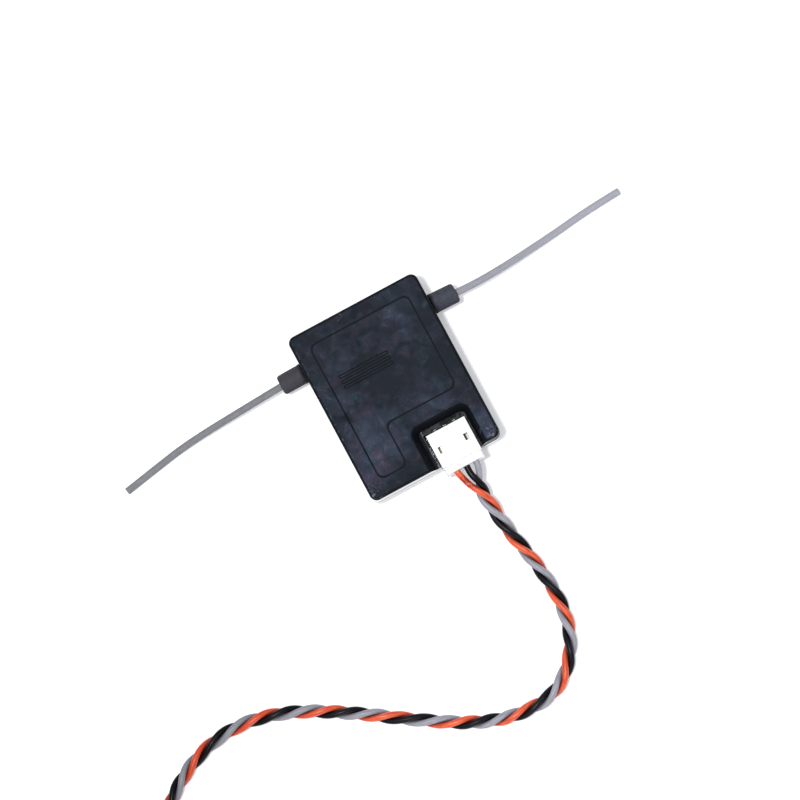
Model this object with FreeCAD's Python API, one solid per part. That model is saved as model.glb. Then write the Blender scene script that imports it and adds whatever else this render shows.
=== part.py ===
import FreeCAD, Part
import math
import os

# Remote receiver of a radio-control set, in millimetres.
# The origin is the centre of the case's underside. X runs across the case, the antennas point along it,
# -Y is the front, where the lead plugs in, and +Z is up.

V = FreeCAD.Vector

# Case, two moulded shells that part at the height of the antennas
case_width = 20.4
case_length = 26.1
case_height = 6.9
corner_radius = 1.05
wall = 1.0
deck = 1.0
floor = 0.9
split_height = 3.4
deck_round = 0.5
foot_round = 0.3
seam_chamfer = 0.06
lip_height = 0.7
lip_thickness = 0.45
fit_gap = 0.05

# Board and the posts that clamp it
board_thickness = 0.8
board_rise = 0.7
board_gap = 0.2
board_corner = 0.5
post_radius = 0.9
peg_radius = 0.4
peg_gap = 0.1
peg_height = 0.6
post_side_inset = 2.9
post_end_inset = 1.2

# Lead: three wires laid up into one round bundle
wire_colours = ("orange", "black", "grey")
wire_diameter = 0.93
lay_slack = 1.01

# Plug and header of the three-way connector
pitch = 1.5
contact_size = 0.9
contact_wall = 0.12
contact_length = 2.0
latch_share = 0.62
latch_length = 1.2
latch_shift = 0.4
crimp_radius = 0.38
crimp_depth = 0.85
channel_gap = 0.06
plug_side_wall = 0.34
plug_body_height = 2.3
plug_nose = 0.4
flange_length = 1.05
flange_inset = 0.1
flange_drop = 0.12
flange_round = 0.2
mate_gap = 0.08
seat_gap = 0.01
nose_gap = 0.2
header_side_wall = 0.625
header_roof = 0.62
header_back = 0.9
header_length = 5.19
header_proud = 0.37
header_round = 0.07
window_width = 0.65
window_length = 1.0
window_setback = 2.5
window_side_wall = 0.72
pin_size = 0.5
pin_reach = 1.4
pin_setback = 0.3
pin_foot = 1.1
pin_bend = 0.35
tab_width = 1.1
tab_thickness = 0.25
tab_height = 2.0
tab_foot = 0.5
tab_setback = 3.2
slot_gap = 0.02

# Notch in the top cover, round the header
notch_inset = 2.37
notch_gap_left = 0.72
notch_gap_right = 0.2
notch_gap_back = 0.8
bevel_left = 1.0
bevel_right = 0.87
bevel_back = 0.93
bevel_depth = 1.5
notch_wall = 0.8
notch_corner = 0.5
bevel_corner = 1.3
notch_land = 0.12
ledge_drop = 0.2
ledge_gap = 0.08
ledge_slit = 0.3
ledge_thickness = 0.6

# Shallow moulded line and bars on the deck
groove_width = 0.24
groove_depth = 0.18
panel_inset = 2.3
panel_corner = 1.0
bar_length = 7.8
bar_width = 0.6
bar_line = 0.19
bar_step = 0.82
bar_count = 3
bar_round = 0.8
bar_x = -2.25
bar_y = 3.95

# Antennas and their sleeves
sleeve_setback = 4.9
sleeve_diameter = 2.92
sleeve_taper = 0.03
sleeve_reach = 3.85
sleeve_round = 0.4
foot_flare = 0.2
foot_reach = 0.5
foot_gap = 0.02
collar_diameter = 3.5
collar_thickness = 0.8
collar_gap = 0.2
antenna_diameter = 1.04
antenna_gap = 0.03
antenna_inset = 1.5
core_diameter = 0.36
core_length = 0.75
solder_foot_radius = 0.75
solder_top_radius = 0.42
solder_cap = 0.3

# Parts on the board: chips with leads, chips without, small two-ended parts and a tin can over the radio.
# Three rows of chips take their lengths, as shares, from the room between the header and the rear edge.
chip_gap = 0.5
edge_gap = 1.0
radio_share = 0.34
regulator_share = 0.14
processor_share = 0.38
lead_sheet = 0.15
lead_reach = 0.75
lead_standoff = 0.1
shield_setback = 1.2
shield_sheet = 0.2
shield_headroom = 0.4
radio_height = 0.85
crystal_width = 2.0
crystal_length = 2.5
crystal_height = 0.6
crystal_rim = 0.15
processor_width = 6.5
processor_height = 1.0
processor_lead_count = 8
processor_pitch = 0.75
processor_lead_width = 0.3
switch_width = 2.0
switch_length = 1.25
switch_height = 0.8
switch_lead_count = 3
switch_pitch = 0.65
switch_lead_width = 0.25
regulator_width = 2.9
regulator_height = 1.0
regulator_lead_count = 3
regulator_pitch = 0.95
regulator_lead_width = 0.4
filter_width = 1.25
filter_length = 2.0
filter_height = 0.8
led_width = 0.8
led_length = 1.6
led_height = 0.6
passive_width = 0.5
passive_length = 1.0
capacitor_height = 0.5
resistor_height = 0.35
passive_step = 1.1
passive_count = 6

# Sizes worked out from the ones above
wire_count = len(wire_colours)
half_width = case_width / 2
half_length = case_length / 2
inner_width = half_width - wall
inner_length = half_length - wall
inner_radius = max(corner_radius - wall, wall / 2)
board_bottom = floor + board_rise
board_top = board_bottom + board_thickness
post_x = inner_width - post_side_inset
post_y = inner_length - post_end_inset
channel_size = contact_size + 2 * channel_gap
plug_body_width = 2 * pitch + channel_size + 2 * plug_side_wall
header_width = plug_body_width + 2 * (mate_gap + header_side_wall)
header_offset = half_width - notch_inset - bevel_right - notch_gap_right - header_width / 2
header_height = plug_body_height + 2 * (mate_gap + header_roof)
header_front = -half_length - header_proud
header_rear = header_front + header_length
header_left = header_offset - header_width / 2
header_right = header_offset + header_width / 2
mouth_depth = header_length - header_back
plug_length = flange_length + seat_gap + mouth_depth - nose_gap
plug_rear = header_front - seat_gap - flange_length
plug_axis = board_top + header_height / 2
flange_width = header_width - 2 * flange_inset
flange_height = header_height - 2 * flange_drop
contact_front = plug_length - plug_nose - fit_gap
throat_left = header_left - notch_gap_left
throat_right = header_right + notch_gap_right
throat_rear = header_rear + notch_gap_back
beyond = case_length
sleeve_y = half_length - sleeve_setback
sleeve_end = half_width + sleeve_reach
collar_face = inner_width - fit_gap
collar_back = collar_face - collar_thickness
antenna_start = inner_width - antenna_inset
antenna_rest = antenna_diameter / 2
rows_rear = inner_length - board_gap - shield_setback
rows_front = header_rear - pin_setback + pin_foot + chip_gap
rows_room = rows_rear - rows_front - 4 * lead_reach - 4 * chip_gap - 2 * shield_sheet
radio_size = radio_share * rows_room
regulator_length = regulator_share * rows_room
processor_length = processor_share * rows_room
bundle_diameter = wire_diameter * (1 + 1 / math.sin(math.pi / wire_count)) * lay_slack
strand_radius = (bundle_diameter - wire_diameter) / 2
lead_rest = bundle_diameter / 2

# Routes of the free cords: points chosen by hand along the way that each one lies
arc_share = 0.45
lead_route = [
    (4.15, -20.5, 2.4),
    (4.6, -24.9, 1.3),
    (6.1, -31.9, lead_rest),
    (6.45, -38.4, lead_rest),
    (4.7, -43.9, lead_rest),
    (0.3, -48.2, lead_rest),
    (-5.9, -48.7, lead_rest),
    (-12.2, -46.8, lead_rest),
    (-19.6, -42.2, lead_rest),
    (-26.6, -37.3, lead_rest),
    (-33.9, -33.0, lead_rest),
    (-41.3, -30.9, lead_rest),
    (-48.7, -31.9, lead_rest),
    (-55.3, -35.8, lead_rest),
    (-60.5, -41.6, lead_rest),
    (-62.3, -49.2, lead_rest),
    (-59.5, -56.4, lead_rest),
    (-52.9, -60.8, lead_rest),
    (-45.1, -61.7, lead_rest),
    (-37.1, -60.1, lead_rest),
]
right_antenna_route = [
    (antenna_start, sleeve_y, split_height),
    (18.5, sleeve_y, split_height),
    (29.8, 9.0, 1.0),
    (35.8, 9.8, antenna_rest),
    (41.2, 10.1, antenna_rest),
]
left_antenna_route = [
    (-antenna_start, sleeve_y, split_height),
    (-18.3, sleeve_y, split_height),
    (-29.1, 7.5, 1.0),
    (-34.9, 6.57, antenna_rest),
    (-40.1, 5.62, antenna_rest),
]
fan_lead_out = 1.2
fan_last_run = 1.8
far_fan_length = 5.2


# Plain shapes

def rectangle(x_low, x_high, y_low, y_high):
    return [(x_low, y_low), (x_high, y_low), (x_high, y_high), (x_low, y_high)]


def outline(corners, radius, z):
    """A closed wire through the corners, each rounded by a tangent arc."""
    points = [V(x, y, z) for x, y in corners]
    rounds = []
    for i, corner in enumerate(points):
        back = (points[i - 1] - corner).normalize()
        ahead = (points[(i + 1) % len(points)] - corner).normalize()
        half = back.getAngle(ahead) / 2
        reach = radius / math.tan(half)
        inward = (back + ahead).normalize()
        middle = corner + inward * (radius / math.sin(half) - radius)
        rounds.append((corner + back * reach, middle, corner + ahead * reach))
    edges = []
    for i, (start, middle, end) in enumerate(rounds):
        edges.append(Part.Arc(start, middle, end).toShape())
        edges.append(Part.makeLine(end, rounds[(i + 1) % len(rounds)][0]))
    return Part.Wire(edges)


def prism(corners, radius, z_low, z_high):
    return Part.Face(outline(corners, radius, z_low)).extrude(V(0, 0, z_high - z_low))


def block(x_low, x_high, y_low, y_high, z_low, z_high):
    size = (x_high - x_low, y_high - y_low, z_high - z_low)
    return Part.makeBox(*size, V(x_low, y_low, z_low))


def centred_block(x, y, z, width, length, height):
    return block(x - width / 2, x + width / 2, y - length / 2, y + length / 2, z, z + height)


def upright(x, y, radius, z_low, z_high):
    return Part.makeCylinder(radius, z_high - z_low, V(x, y, z_low))


def crosswise(radius, x_low, x_high, y, z):
    return Part.makeCylinder(radius, x_high - x_low, V(x_low, y, z), V(1, 0, 0))


def edges_at_height(shape, z):
    """The edges that lie whole at one height."""
    return [edge for edge in shape.Edges if all(abs(vertex.Z - z) < 1e-6 for vertex in edge.Vertexes)]


# Paths of runs joined by tangent arcs, and what is swept along them

def rounded_edges(points, radius_at):
    """Straight runs through the points, with an arc of the given radius at each inner one."""
    edges = []
    last = points[0]
    for i in range(1, len(points) - 1):
        corner = points[i]
        back = (points[i - 1] - corner).normalize()
        ahead = (points[i + 1] - corner).normalize()
        half = back.getAngle(ahead) / 2
        radius = radius_at(i)
        reach = radius / math.tan(half)
        start = corner + back * reach
        end = corner + ahead * reach
        middle = corner + (back + ahead).normalize() * (radius / math.sin(half) - radius)
        edges.append(Part.makeLine(last, start))
        edges.append(Part.Arc(start, middle, end).toShape())
        last = end
    edges.append(Part.makeLine(last, points[-1]))
    return edges


def cord_radius(points, i):
    """As large an arc as the two runs beside point i allow."""
    back = points[i - 1] - points[i]
    ahead = points[i + 1] - points[i]
    turn = math.pi - back.getAngle(ahead)
    return arc_share * min(back.Length, ahead.Length) / math.tan(turn / 2)


def cord(name, points, diameter):
    """A plain round tube along the points, with its radii, length and volume printed."""
    radii = [cord_radius(points, i) for i in range(1, len(points) - 1)]
    path = Part.Wire(rounded_edges(points, lambda i: radii[i - 1]))
    heading = points[1] - points[0]
    section = Part.Wire(Part.makeCircle(diameter / 2, points[0], heading))
    tube = path.makePipeShell([section], True, False)
    expected = math.pi * diameter ** 2 / 4 * path.Length
    print(name, "length %.2f" % path.Length, "volume share %.4f" % (tube.Volume / expected),
          "radii", " ".join("%.1f" % radius for radius in radii))
    return tube


def bent_bar(points, bend, section_corners):
    """A flat or square bar bent along the points."""
    path = Part.Wire(rounded_edges(points, lambda i: bend))
    section = Part.makePolygon(section_corners + [section_corners[0]])
    return path.makePipeShell([section], True, False)


# Case

def ring(inner, outer, inner_round, outer_round, z_low, z_high):
    return prism(outer, outer_round, z_low, z_high).cut(prism(inner, inner_round, z_low, z_high))


def case_rectangle(inset):
    return rectangle(inset - half_width, half_width - inset, inset - half_length, half_length - inset)


def sleeve_hole():
    """The round hole through both side walls that the antenna sleeves leave by."""
    reach = half_width + wall
    return crosswise(sleeve_diameter / 2 + fit_gap, -reach, reach, sleeve_y, split_height)


def throat(growth):
    return rectangle(throat_left - growth, throat_right + growth,
                     -half_length - beyond, throat_rear + growth)


def bevel(growth):
    return rectangle(throat_left - bevel_left - growth, throat_right + bevel_right + growth,
                     -half_length - beyond, throat_rear + bevel_back + growth)


def notch_shape(growth, z_low):
    """The notch: upright round the header, then a narrow land, then flaring out to the deck."""
    bevel_low = case_height - bevel_depth
    stem = prism(throat(growth), notch_corner + growth, z_low, bevel_low)
    low = outline(throat(growth + notch_land), notch_corner + growth + notch_land, bevel_low)
    high = outline(bevel(growth), bevel_corner + growth, case_height)
    return stem.fuse(Part.makeLoft([low, high], True, True))


def header_ledge():
    """A plate at the foot of the notch that closes in on the header, and the wall that carries its front."""
    left = throat_left - notch_wall / 2
    right = throat_right + notch_wall / 2
    z_high = case_height - bevel_depth - ledge_drop
    plate = block(left, right, -half_length, throat_rear + notch_wall / 2, z_high - ledge_thickness, z_high)
    plate = plate.cut(block(header_left - ledge_slit, header_right + ledge_gap, -inner_length,
                            header_rear + ledge_slit, split_height, z_high))
    front = block(left, right, -half_length, -inner_length, split_height, z_high)
    return plate.fuse(front).cut(block(header_left - ledge_gap, header_right + ledge_gap,
                                       -half_length - beyond, header_rear, split_height, z_high))


def panel_groove():
    """A fine line round the flat of the deck, stepping round the notch."""
    left = panel_inset - half_width
    right = half_width - panel_inset
    front = panel_inset - half_length
    rear = half_length - panel_inset
    step_x = throat_left - bevel_left - panel_inset
    step_y = throat_rear + bevel_back + panel_inset

    def panel(inset):
        return [
            (left + inset, front + inset),
            (step_x - inset, front + inset),
            (step_x - inset, step_y + inset),
            (right - inset, step_y + inset),
            (right - inset, rear - inset),
            (left + inset, rear - inset),
        ]

    z_low = case_height - groove_depth
    outer = prism(panel(0), panel_corner, z_low, case_height)
    return outer.cut(prism(panel(groove_width), panel_corner, z_low, case_height))


def deck_bars():
    """Three short bars on the deck, each drawn by a fine sunk line."""
    bars = []
    for i in range(bar_count):
        y = bar_y + (i - (bar_count - 1) / 2) * bar_step

        def bar(inset):
            half = bar_width / 2 - inset
            corners = rectangle(bar_x - bar_length / 2 + inset, bar_x + bar_length / 2 - inset,
                                y - half, y + half)
            return prism(corners, bar_round * half, case_height - groove_depth, case_height)

        bars.append(bar(0).cut(bar(bar_line)))
    return bars


def hold_down_posts():
    """Hollow posts under the deck that press on the board, round the pegs; the header's corner has none."""
    posts = []
    for x, y in ((-post_x, -post_y), (-post_x, post_y), (post_x, post_y)):
        post = upright(x, y, post_radius, board_top, case_height - deck / 2)
        bore = upright(x, y, peg_radius + peg_gap, board_top, board_top + peg_height + peg_gap)
        posts.append(post.cut(bore))
    return posts


def top_cover():
    envelope = prism(case_rectangle(0), corner_radius, split_height, case_height)
    envelope = envelope.makeChamfer(seam_chamfer, edges_at_height(envelope, split_height))
    cavity = prism(case_rectangle(wall), inner_radius, split_height, case_height - deck)
    rebate_width = lip_thickness + fit_gap
    rebate = prism(case_rectangle(wall - rebate_width), inner_radius + rebate_width,
                   split_height, split_height + lip_height + fit_gap)
    surround = notch_shape(notch_wall, split_height).common(envelope)
    cover = envelope.cut(cavity).cut(rebate).fuse([surround]).cut(notch_shape(0, split_height))
    cover = cover.fuse(header_ledge()).removeSplitter()
    cover = cover.makeFillet(min(deck_round, 0.9 * deck), edges_at_height(cover, case_height))
    cover = cover.fuse(hold_down_posts())
    return cover.cut([sleeve_hole(), panel_groove()] + deck_bars())


def bottom_cover():
    envelope = prism(case_rectangle(0), corner_radius, 0, split_height)
    envelope = envelope.makeFillet(min(foot_round, 0.9 * floor), edges_at_height(envelope, 0))
    envelope = envelope.makeChamfer(seam_chamfer, edges_at_height(envelope, split_height))
    cavity = prism(case_rectangle(wall), inner_radius, floor, split_height)
    lip = ring(case_rectangle(wall), case_rectangle(wall - lip_thickness), inner_radius,
               inner_radius + lip_thickness, split_height, split_height + lip_height)
    notch_clear = block(throat_left - notch_wall - fit_gap, throat_right + notch_wall + fit_gap,
                        -half_length, -inner_length, split_height, case_height)
    posts = []
    for x in (-post_x, post_x):
        for y in (-post_y, post_y):
            posts.append(upright(x, y, post_radius, floor / 2, board_bottom))
    for x, y in ((-post_x, -post_y), (-post_x, post_y), (post_x, post_y)):
        posts.append(upright(x, y, peg_radius, board_bottom, board_top + peg_height))
    header_gap = block(header_left - ledge_gap, header_right + ledge_gap, -half_length, -inner_length,
                       board_top - fit_gap, split_height)
    cover = envelope.cut(cavity).fuse([lip.cut(notch_clear)] + posts)
    return cover.removeSplitter().cut([sleeve_hole(), header_gap])


# Board and what is soldered to it

def circuit_board():
    inset = wall + board_gap
    board = prism(case_rectangle(inset), board_corner, board_bottom, board_top)
    cuts = []
    for x, y in ((-post_x, -post_y), (-post_x, post_y), (post_x, post_y)):
        cuts.append(upright(x, y, peg_radius + peg_gap, board_bottom, board_top))
    half = collar_diameter / 2 + collar_gap
    for side in (-1, 1):
        edge = side * half_width
        deep = side * (collar_back - collar_gap)
        cuts.append(block(min(edge, deep), max(edge, deep), sleeve_y - half, sleeve_y + half,
                          board_bottom, board_top))
    return board.cut(cuts)


def gull_lead(x, y, side, length, height, lead_width):
    """One lead: out of the package's side, down to the board and along it."""
    knee = y + side * (length / 2 + lead_reach * 0.4)
    shoulder = board_top + lead_standoff + height / 2
    foot = board_top + lead_sheet / 2
    start = V(x, y + side * (length / 2 - lead_sheet), shoulder)
    toe = V(x, y + side * (length / 2 + lead_reach), foot)
    points = [start, V(x, knee, shoulder), V(x, knee, foot), toe]
    across = V(lead_width / 2, 0, 0)
    above = V(0, 0, lead_sheet / 2)
    corners = [start - across - above, start + across - above,
               start + across + above, start - across + above]
    return bent_bar(points, lead_sheet, corners)


def leaded_chip(x, y, width, length, height, count, lead_pitch, lead_width):
    """A moulded package with a row of leads along each long side and a dimple at its first corner."""
    top = board_top + lead_standoff + height
    body = centred_block(x, y, board_top + lead_standoff, width, length, height)
    body = body.makeChamfer(lead_standoff, edges_at_height(body, top))
    dimple = length / 8
    mark_x = x - width / 2 + 3 * dimple
    mark_y = y - length / 2 + 3 * dimple
    body = body.cut(upright(mark_x, mark_y, dimple, top - lead_sheet, top))
    leads = []
    for i in range(count):
        lead_x = x + (i - (count - 1) / 2) * lead_pitch
        for side in (-1, 1):
            leads.append(gull_lead(lead_x, y, side, length, height, lead_width))
    return body.fuse(leads)


def leadless_chip(x, y, size, height):
    """A flat square package with its first corner marked by a dimple."""
    dimple = size / 12
    place = size / 2 - 2 * dimple
    body = centred_block(x, y, board_top, size, size, height)
    top = board_top + height
    return body.cut(upright(x - place, y + place, dimple, top - lead_sheet, top))


def end_capped_chip(x, y, width, length, height):
    """A small two-ended part: a slimmer middle between two plated ends."""
    cap = length / 4
    middle = centred_block(x, y, board_top, width * 0.9, length - cap, height * 0.9)
    ends = []
    for side in (-1, 1):
        ends.append(centred_block(x, y + side * (length - cap) / 2, board_top, width, cap, height))
    return middle.fuse(ends)


def shield_can(x, y, width, length, height):
    """A folded tin cover, open below, with two rows of holes in its roof."""
    top = board_top + height
    can = centred_block(x, y, board_top, width, length, height)
    can = can.makeFillet(1.5 * shield_sheet, edges_at_height(can, top))
    can = can.cut(centred_block(x, y, board_top, width - 2 * shield_sheet, length - 2 * shield_sheet,
                                height - shield_sheet))
    holes = []
    for i in (-1, 0, 1):
        for j in (-1, 1):
            holes.append(upright(x + i * width / 4, y + j * length / 6, width / 20,
                                 top - 2 * shield_sheet, top))
    return can.cut(holes)


def crystal(x, y):
    """A small metal can on a ceramic base."""
    half = crystal_height / 2
    base = centred_block(x, y, board_top, crystal_width, crystal_length, half)
    lid_width = crystal_width - 2 * crystal_rim
    lid_length = crystal_length - 2 * crystal_rim
    lid = centred_block(x, y, board_top + half, lid_width, lid_length, half)
    return base.fuse(lid)


# Connector

def header_shroud():
    body = block(header_left, header_right, header_front, header_rear, board_top,
                 board_top + header_height)
    body = body.makeFillet(header_round, edges_at_height(body, board_top + header_height))
    mouth_half_width = plug_body_width / 2 + mate_gap
    mouth_half_height = plug_body_height / 2 + mate_gap
    cuts = [block(header_offset - mouth_half_width, header_offset + mouth_half_width, header_front,
                  header_front + mouth_depth, plug_axis - mouth_half_height, plug_axis + mouth_half_height)]
    window_y = header_front + window_setback
    for side in (-1, 1):
        window_x = header_offset + side * (header_width / 2 - window_side_wall - window_width / 2)
        cuts.append(centred_block(window_x, window_y, plug_axis + plug_body_height / 2,
                                  window_width, window_length, header_height))
        slot_x = header_offset + side * (header_width - tab_thickness) / 2
        cuts.append(centred_block(slot_x, header_front + tab_setback, board_top,
                                  tab_thickness + 2 * slot_gap, tab_width + 2 * slot_gap,
                                  tab_height + slot_gap))
    hole = pin_size + 2 * slot_gap
    slot_front = header_rear - pin_setback - hole / 2 - (pin_bend - pin_size / 2)
    for i in range(wire_count):
        x = wire_x(i)
        cuts.append(centred_block(x, header_rear - header_back / 2, plug_axis - hole / 2,
                                  hole, header_back, hole))
        cuts.append(block(x - hole / 2, x + hole / 2, slot_front, header_rear, board_top, plug_axis))
    return body.cut(cuts)


def wire_x(i):
    return header_offset + (i - (wire_count - 1) / 2) * pitch


def header_pin(i):
    """One square pin: through the back of the header, down its slot to the board and along it."""
    x = wire_x(i)
    half = pin_size / 2
    tip = plug_rear + contact_front - pin_reach
    heel = header_rear - pin_setback
    points = [V(x, tip, plug_axis), V(x, heel, plug_axis), V(x, heel, board_top + half),
              V(x, heel + pin_foot, board_top + half)]
    corners = [V(x - half, tip, plug_axis - half), V(x + half, tip, plug_axis - half),
               V(x + half, tip, plug_axis + half), V(x - half, tip, plug_axis + half)]
    return bent_bar(points, pin_bend, corners)


def header_tab(side):
    """A tin tab pressed into the header's side and soldered to the board by its foot."""
    y = header_front + tab_setback
    x = header_offset + side * (header_width - tab_thickness) / 2
    half = tab_thickness / 2
    top = board_top + tab_height
    out = x + side * (half + tab_foot)
    points = [V(x, y, top), V(x, y, board_top + half), V(out, y, board_top + half)]
    corners = [V(x - half, y - tab_width / 2, top), V(x + half, y - tab_width / 2, top),
               V(x + half, y + tab_width / 2, top), V(x - half, y + tab_width / 2, top)]
    return bent_bar(points, tab_thickness, corners)


def plug_housing():
    """The plug by itself: wires enter its flange at y = 0, and its nose points along +Y."""
    half_width_out = flange_width / 2
    half_height_out = flange_height / 2
    flange = block(-half_width_out, half_width_out, 0, flange_length, -half_height_out, half_height_out)
    long_edges = [edge for edge in flange.Edges if abs(edge.tangentAt(0).y) > 0.5]
    flange = flange.makeFillet(flange_round, long_edges)
    nose = block(-plug_body_width / 2, plug_body_width / 2, 0, plug_length,
                 -plug_body_height / 2, plug_body_height / 2)
    cuts = []
    entry = pin_size + 2 * mate_gap
    channel_end = plug_length - plug_nose
    latch_y = channel_end - contact_length * latch_share
    for i in range(wire_count):
        x = (i - (wire_count - 1) / 2) * pitch
        cuts.append(centred_block(x, channel_end / 2, -channel_size / 2,
                                  channel_size, channel_end, channel_size))
        cuts.append(centred_block(x, plug_length - plug_nose / 2, -entry / 2, entry, plug_nose, entry))
        latch_x = x + (i - (wire_count - 1) / 2) * latch_shift
        cuts.append(centred_block(latch_x, latch_y, 0, contact_size, latch_length, plug_body_height))
    return flange.fuse(nose).cut(cuts)


def crimp_contact(x):
    """One socket contact in the plug's own frame: a folded box and a barrel closed on the wire."""
    half = contact_size / 2
    box_rear = contact_front - contact_length
    box = block(x - half, x + half, box_rear, contact_front, -half, half)
    inner = half - contact_wall
    bore = block(x - inner, x + inner, box_rear + contact_wall, contact_front, -inner, inner)
    barrel = Part.makeCylinder(crimp_radius, box_rear - crimp_depth, V(x, crimp_depth, 0), V(0, 1, 0))
    return box.cut(bore).fuse(barrel)


def placed(shape, origin, turn):
    copy = shape.copy()
    copy.Placement = FreeCAD.Placement(origin, FreeCAD.Rotation(V(0, 0, 1), turn))
    return copy


# Lead

def strand_offset(i, heading):
    """Where wire i sits in the round section of the bundle."""
    across = heading.cross(V(0, 0, 1)).normalize()
    above = across.cross(heading).normalize()
    angle = math.radians(90 + (i - 1) * 360 / wire_count)
    return (across * math.cos(angle) + above * math.sin(angle)) * strand_radius


def fan_wire(name, i, socket, outward, bundle_end, heading):
    """One wire from its crimp out of the plug to its place on the end face of the bundle."""
    leave = socket + outward * (crimp_depth + fan_lead_out)
    finish = bundle_end + strand_offset(i, heading)
    points = [socket, leave, finish - heading * fan_last_run, finish]
    return cord(name, points, wire_diameter)


# Antennas

def antenna_sleeve():
    """The right-hand sleeve, turned about the antenna: collar inside the wall, flared foot, soft spout."""
    bore = antenna_diameter / 2 + antenna_gap
    body = sleeve_diameter / 2
    tip = body - sleeve_taper
    collar = collar_diameter / 2
    foot = half_width + foot_gap
    slant = 1 - math.sqrt(0.5)

    def at(x, radius):
        return V(x, 0, radius)

    edges = [Part.makePolygon([at(collar_back, bore), at(collar_back, collar), at(collar_face, collar),
                               at(collar_face, body), at(foot, body), at(foot, body + foot_flare)])]
    edges.append(Part.Arc(at(foot, body + foot_flare),
                          at(foot + foot_reach * slant, body + foot_flare * slant),
                          at(foot + foot_reach, body)).toShape())
    edges.append(Part.makeLine(at(foot + foot_reach, body), at(sleeve_end - sleeve_round, tip)))
    edges.append(Part.Arc(at(sleeve_end - sleeve_round, tip),
                          at(sleeve_end - sleeve_round * slant, tip - sleeve_round * slant),
                          at(sleeve_end, tip - sleeve_round)).toShape())
    edges.append(Part.makePolygon([at(sleeve_end, tip - sleeve_round), at(sleeve_end, bore),
                                   at(collar_back, bore)]))
    profile = Part.Wire([edge for item in edges for edge in item.Edges])
    sleeve = Part.Face(profile).revolve(V(0, 0, 0), V(1, 0, 0), 360)
    sleeve.translate(V(0, sleeve_y, split_height))
    return sleeve


def antenna_core(side):
    """The bare end of the antenna's inner wire."""
    start = side * (antenna_start - core_length)
    end = side * antenna_start
    return crosswise(core_diameter / 2, min(start, end), max(start, end), sleeve_y, split_height)


def antenna_wire(name, route, side):
    wire = cord(name, [V(*point) for point in route], antenna_diameter)
    return wire.fuse(antenna_core(side))


def antenna_solder(side):
    """The mound of solder that joins the antenna's bare end to the board."""
    x = side * (antenna_start - core_length)
    height = split_height + solder_cap - board_top
    mound = Part.makeCone(solder_foot_radius, solder_top_radius, height, V(x, sleeve_y, board_top))
    return mound.cut(antenna_core(side))


def mirrored(shape):
    return shape.mirror(V(0, 0, 0), V(1, 0, 0))


# Assembly

def radio_parts():
    """The radio end of the board: radio and crystal in their can, then filter, regulator and switch."""
    shield_width = radio_size + crystal_width + 3 * chip_gap + 2 * shield_sheet
    shield_length = max(radio_size, crystal_length) + 2 * (chip_gap + shield_sheet)
    shield_height = max(radio_height, crystal_height) + shield_headroom + shield_sheet
    shield_y = rows_rear - shield_length / 2
    radio_x = -shield_width / 2 + shield_sheet + chip_gap + radio_size / 2
    crystal_x = shield_width / 2 - shield_sheet - chip_gap - crystal_width / 2
    row_depth = max(max(switch_length, regulator_length) / 2 + lead_reach, filter_length / 2)
    row_y = shield_y - shield_length / 2 - chip_gap - row_depth
    parts = {
        "shield_can": shield_can(0, shield_y, shield_width, shield_length, shield_height),
        "radio_chip": leadless_chip(radio_x, shield_y, radio_size, radio_height),
        "crystal_can": crystal(crystal_x, shield_y),
        "antenna_switch": leaded_chip(shield_width / 2, row_y, switch_width, switch_length, switch_height,
                                      switch_lead_count, switch_pitch, switch_lead_width),
        "voltage_regulator": leaded_chip(0, row_y, regulator_width, regulator_length, regulator_height,
                                         regulator_lead_count, regulator_pitch, regulator_lead_width),
        "output_filter": end_capped_chip(-shield_width / 2, row_y, filter_width, filter_length,
                                         filter_height),
    }
    return parts, row_y - row_depth


def logic_parts(rear_y):
    """The rest of the board: the processor beside two rows of small parts, and the light before it."""
    left = -inner_width + board_gap + edge_gap
    row_y = rear_y - chip_gap - lead_reach - processor_length / 2
    led_y = row_y - processor_length / 2 - lead_reach - chip_gap - led_length / 2
    parts = {
        "processor_chip": leaded_chip(left + processor_width / 2, row_y, processor_width,
                                      processor_length, processor_height, processor_lead_count,
                                      processor_pitch, processor_lead_width),
        "status_led": end_capped_chip(left + processor_width / 2, led_y, led_width, led_length, led_height),
    }
    for i in range(passive_count):
        x = left + processor_width + chip_gap + passive_width / 2 + i * passive_step
        parts["capacitor_%d" % (i + 1)] = end_capped_chip(x, row_y + passive_length, passive_width,
                                                          passive_length, capacitor_height)
        parts["resistor_%d" % (i + 1)] = end_capped_chip(x, row_y - passive_length, passive_width,
                                                         passive_length, resistor_height)
    return parts


def connector_parts():
    parts = {
        "header_shroud": header_shroud(),
        "header_tab_left": header_tab(-1),
        "header_tab_right": header_tab(1),
        "plug_housing": placed(plug_housing(), V(header_offset, plug_rear, plug_axis), 0),
    }
    for i in range(wire_count):
        parts["header_pin_%d" % (i + 1)] = header_pin(i)
    return parts


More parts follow.
